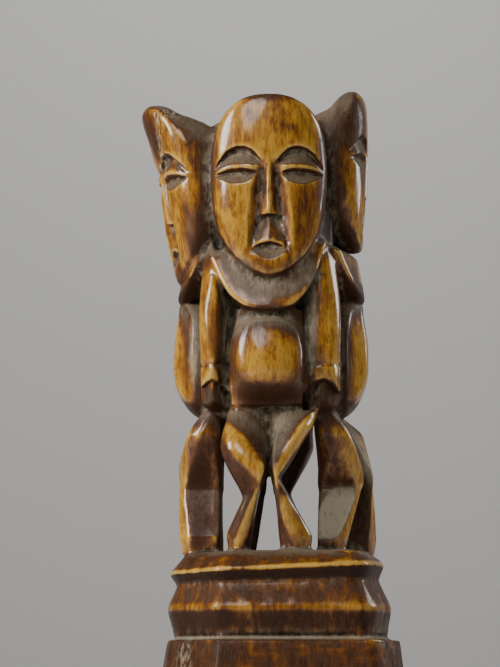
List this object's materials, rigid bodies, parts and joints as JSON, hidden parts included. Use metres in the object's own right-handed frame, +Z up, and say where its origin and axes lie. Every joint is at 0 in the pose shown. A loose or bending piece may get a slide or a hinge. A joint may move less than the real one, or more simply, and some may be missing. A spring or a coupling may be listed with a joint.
{
  "type": "ivory statuette",
  "caption": "Small carved ivory statuette: bent-knee figures back to back under egg-shaped mask heads, on a moulded square plinth, cut from one piece.",
  "frame": {"origin": "centre of the flat underside of the plinth", "axes": "+Z up; the front figure, whose knees nearly touch, faces -Y; +X is to the right of someone looking at the front"},
  "size_m": [0.0556, 0.0493, 0.1272],
  "materials": {
    "ivory": "gloss"
  },
  "bodies": {
    "root": {"statuette": "ivory"}
  },
  "joints": []
}
